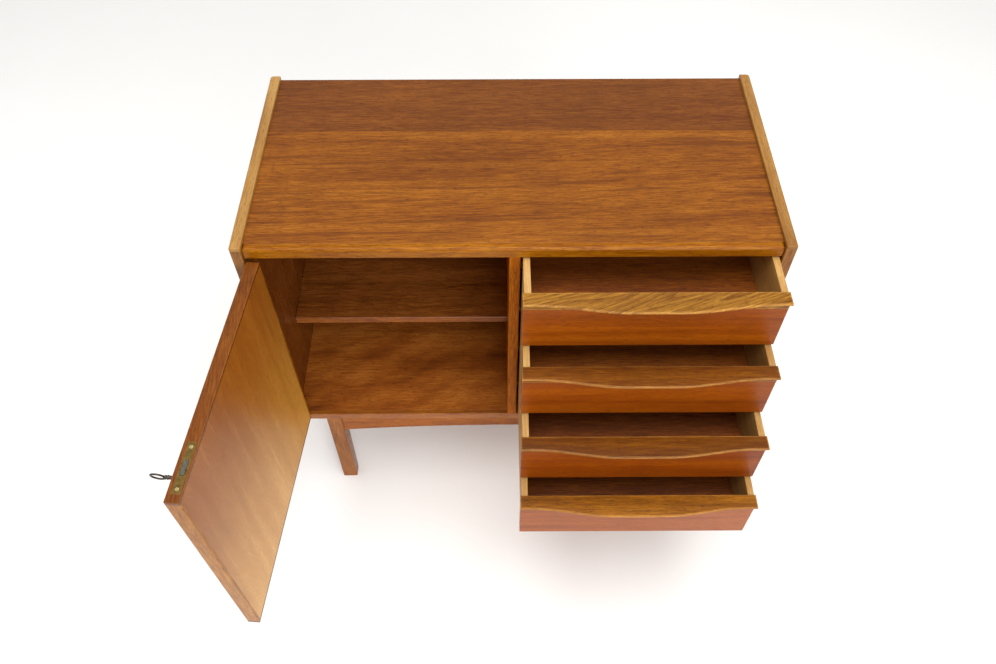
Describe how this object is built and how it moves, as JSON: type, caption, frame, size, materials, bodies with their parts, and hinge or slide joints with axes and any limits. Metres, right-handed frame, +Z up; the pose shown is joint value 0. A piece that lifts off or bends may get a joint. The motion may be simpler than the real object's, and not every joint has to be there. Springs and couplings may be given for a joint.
{
  "type": "sewing table",
  "caption": "Small wooden sewing table: a cabinet with a lockable hinged door, a shelf and a stack of drawers with bowed finger lips, on a frame of tapered legs.",
  "frame": {"origin": "middle of the bounding box on the floor, with the door open and the drawers pulled out as at rest", "axes": "+X to the right along the front, +Y to the back, +Z up"},
  "size_m": [0.85, 0.7648, 0.72],
  "materials": {
    "teak_top": "satin oiled teak veneer",
    "teak_side": "satin oiled teak",
    "teak_front": "satin oiled teak veneer",
    "teak_solid": "satin oiled solid teak",
    "teak_door": "satin oiled teak veneer",
    "pale_hardwood": "matt unpolished hardwood",
    "plywood": "matt plywood",
    "brass": "dulled",
    "steel": "worn"
  },
  "bodies": {
    "cabinet": {"side_panel_left": "teak_side", "side_panel_right": "teak_side", "top_panel": "teak_top", "top_front_lipping": "teak_solid", "bottom_panel": "teak_top", "bottom_front_lipping": "teak_solid", "divider_panel": "teak_side", "back_panel": "plywood", "shelf": "teak_top", "shelf_pins": "brass", "drawer_runners": "pale_hardwood", "carcass_dowels": "pale_hardwood", "lock_strike_plate": "brass", "cabinet_brass_screws": "brass", "hinge_cabinet_leaves": "brass", "hinge_pins": "brass", "front_left_leg": "teak_solid", "front_right_leg": "teak_solid", "back_left_leg": "teak_solid", "back_right_leg": "teak_solid", "front_apron": "teak_solid", "back_apron": "teak_solid", "left_apron": "teak_solid", "right_apron": "teak_solid", "corner_blocks": "pale_hardwood", "base_screws": "steel"},
    "door": {"door_panel": "teak_door", "door_lippings": "teak_solid", "lock_case": "steel", "lock_faceplate": "brass", "keyhole_bush": "brass", "door_brass_screws": "brass", "hinge_door_leaves": "brass"},
    "lock_bolt": {"lock_bolt": "steel"},
    "key": {"key": "steel"},
    "drawer_1": {"drawer_1_front": "teak_front", "drawer_1_pull_lip": "teak_solid", "drawer_1_left_side": "pale_hardwood", "drawer_1_right_side": "pale_hardwood", "drawer_1_back": "pale_hardwood", "drawer_1_bottom": "plywood"},
    "drawer_2": {"drawer_2_front": "teak_front", "drawer_2_pull_lip": "teak_solid", "drawer_2_left_side": "pale_hardwood", "drawer_2_right_side": "pale_hardwood", "drawer_2_back": "pale_hardwood", "drawer_2_bottom": "plywood"},
    "drawer_3": {"drawer_3_front": "teak_front", "drawer_3_pull_lip": "teak_solid", "drawer_3_left_side": "pale_hardwood", "drawer_3_right_side": "pale_hardwood", "drawer_3_back": "pale_hardwood", "drawer_3_bottom": "plywood"},
    "drawer_4": {"drawer_4_front": "teak_front", "drawer_4_pull_lip": "teak_solid", "drawer_4_left_side": "pale_hardwood", "drawer_4_right_side": "pale_hardwood", "drawer_4_back": "pale_hardwood", "drawer_4_bottom": "plywood"}
  },
  "joints": [
    {"name": "door_hinge", "type": "hinge", "parent": "cabinet", "child": "door", "pos_m": [-0.358, -0.00706, 0.483], "axis": [0, 0, 1], "range_deg": [-75, 95]},
    {"name": "key_turn", "type": "hinge", "parent": "door", "child": "key", "pos_m": [-0.41503, -0.33183, 0.664], "axis": [0.9962, -0.0872, 0], "range_deg": [-12, 168]},
    {"name": "bolt_slide", "type": "slide", "parent": "door", "child": "lock_bolt", "axis": [0, 0, 1], "range_m": [-0.00047, 0.00653]},
    {"name": "drawer_1_slide", "type": "slide", "parent": "cabinet", "child": "drawer_1", "axis": [0, -1, 0], "range_m": [-0.083, 0.217]},
    {"name": "drawer_2_slide", "type": "slide", "parent": "cabinet", "child": "drawer_2", "axis": [0, -1, 0], "range_m": [-0.134, 0.166]},
    {"name": "drawer_3_slide", "type": "slide", "parent": "cabinet", "child": "drawer_3", "axis": [0, -1, 0], "range_m": [-0.189, 0.111]},
    {"name": "drawer_4_slide", "type": "slide", "parent": "cabinet", "child": "drawer_4", "axis": [0, -1, 0], "range_m": [-0.234, 0.066]}
  ],
  "couplings": [
    {"joint": "key_turn", "follows": "bolt_slide", "rad_per_m": 448.8}
  ]
}
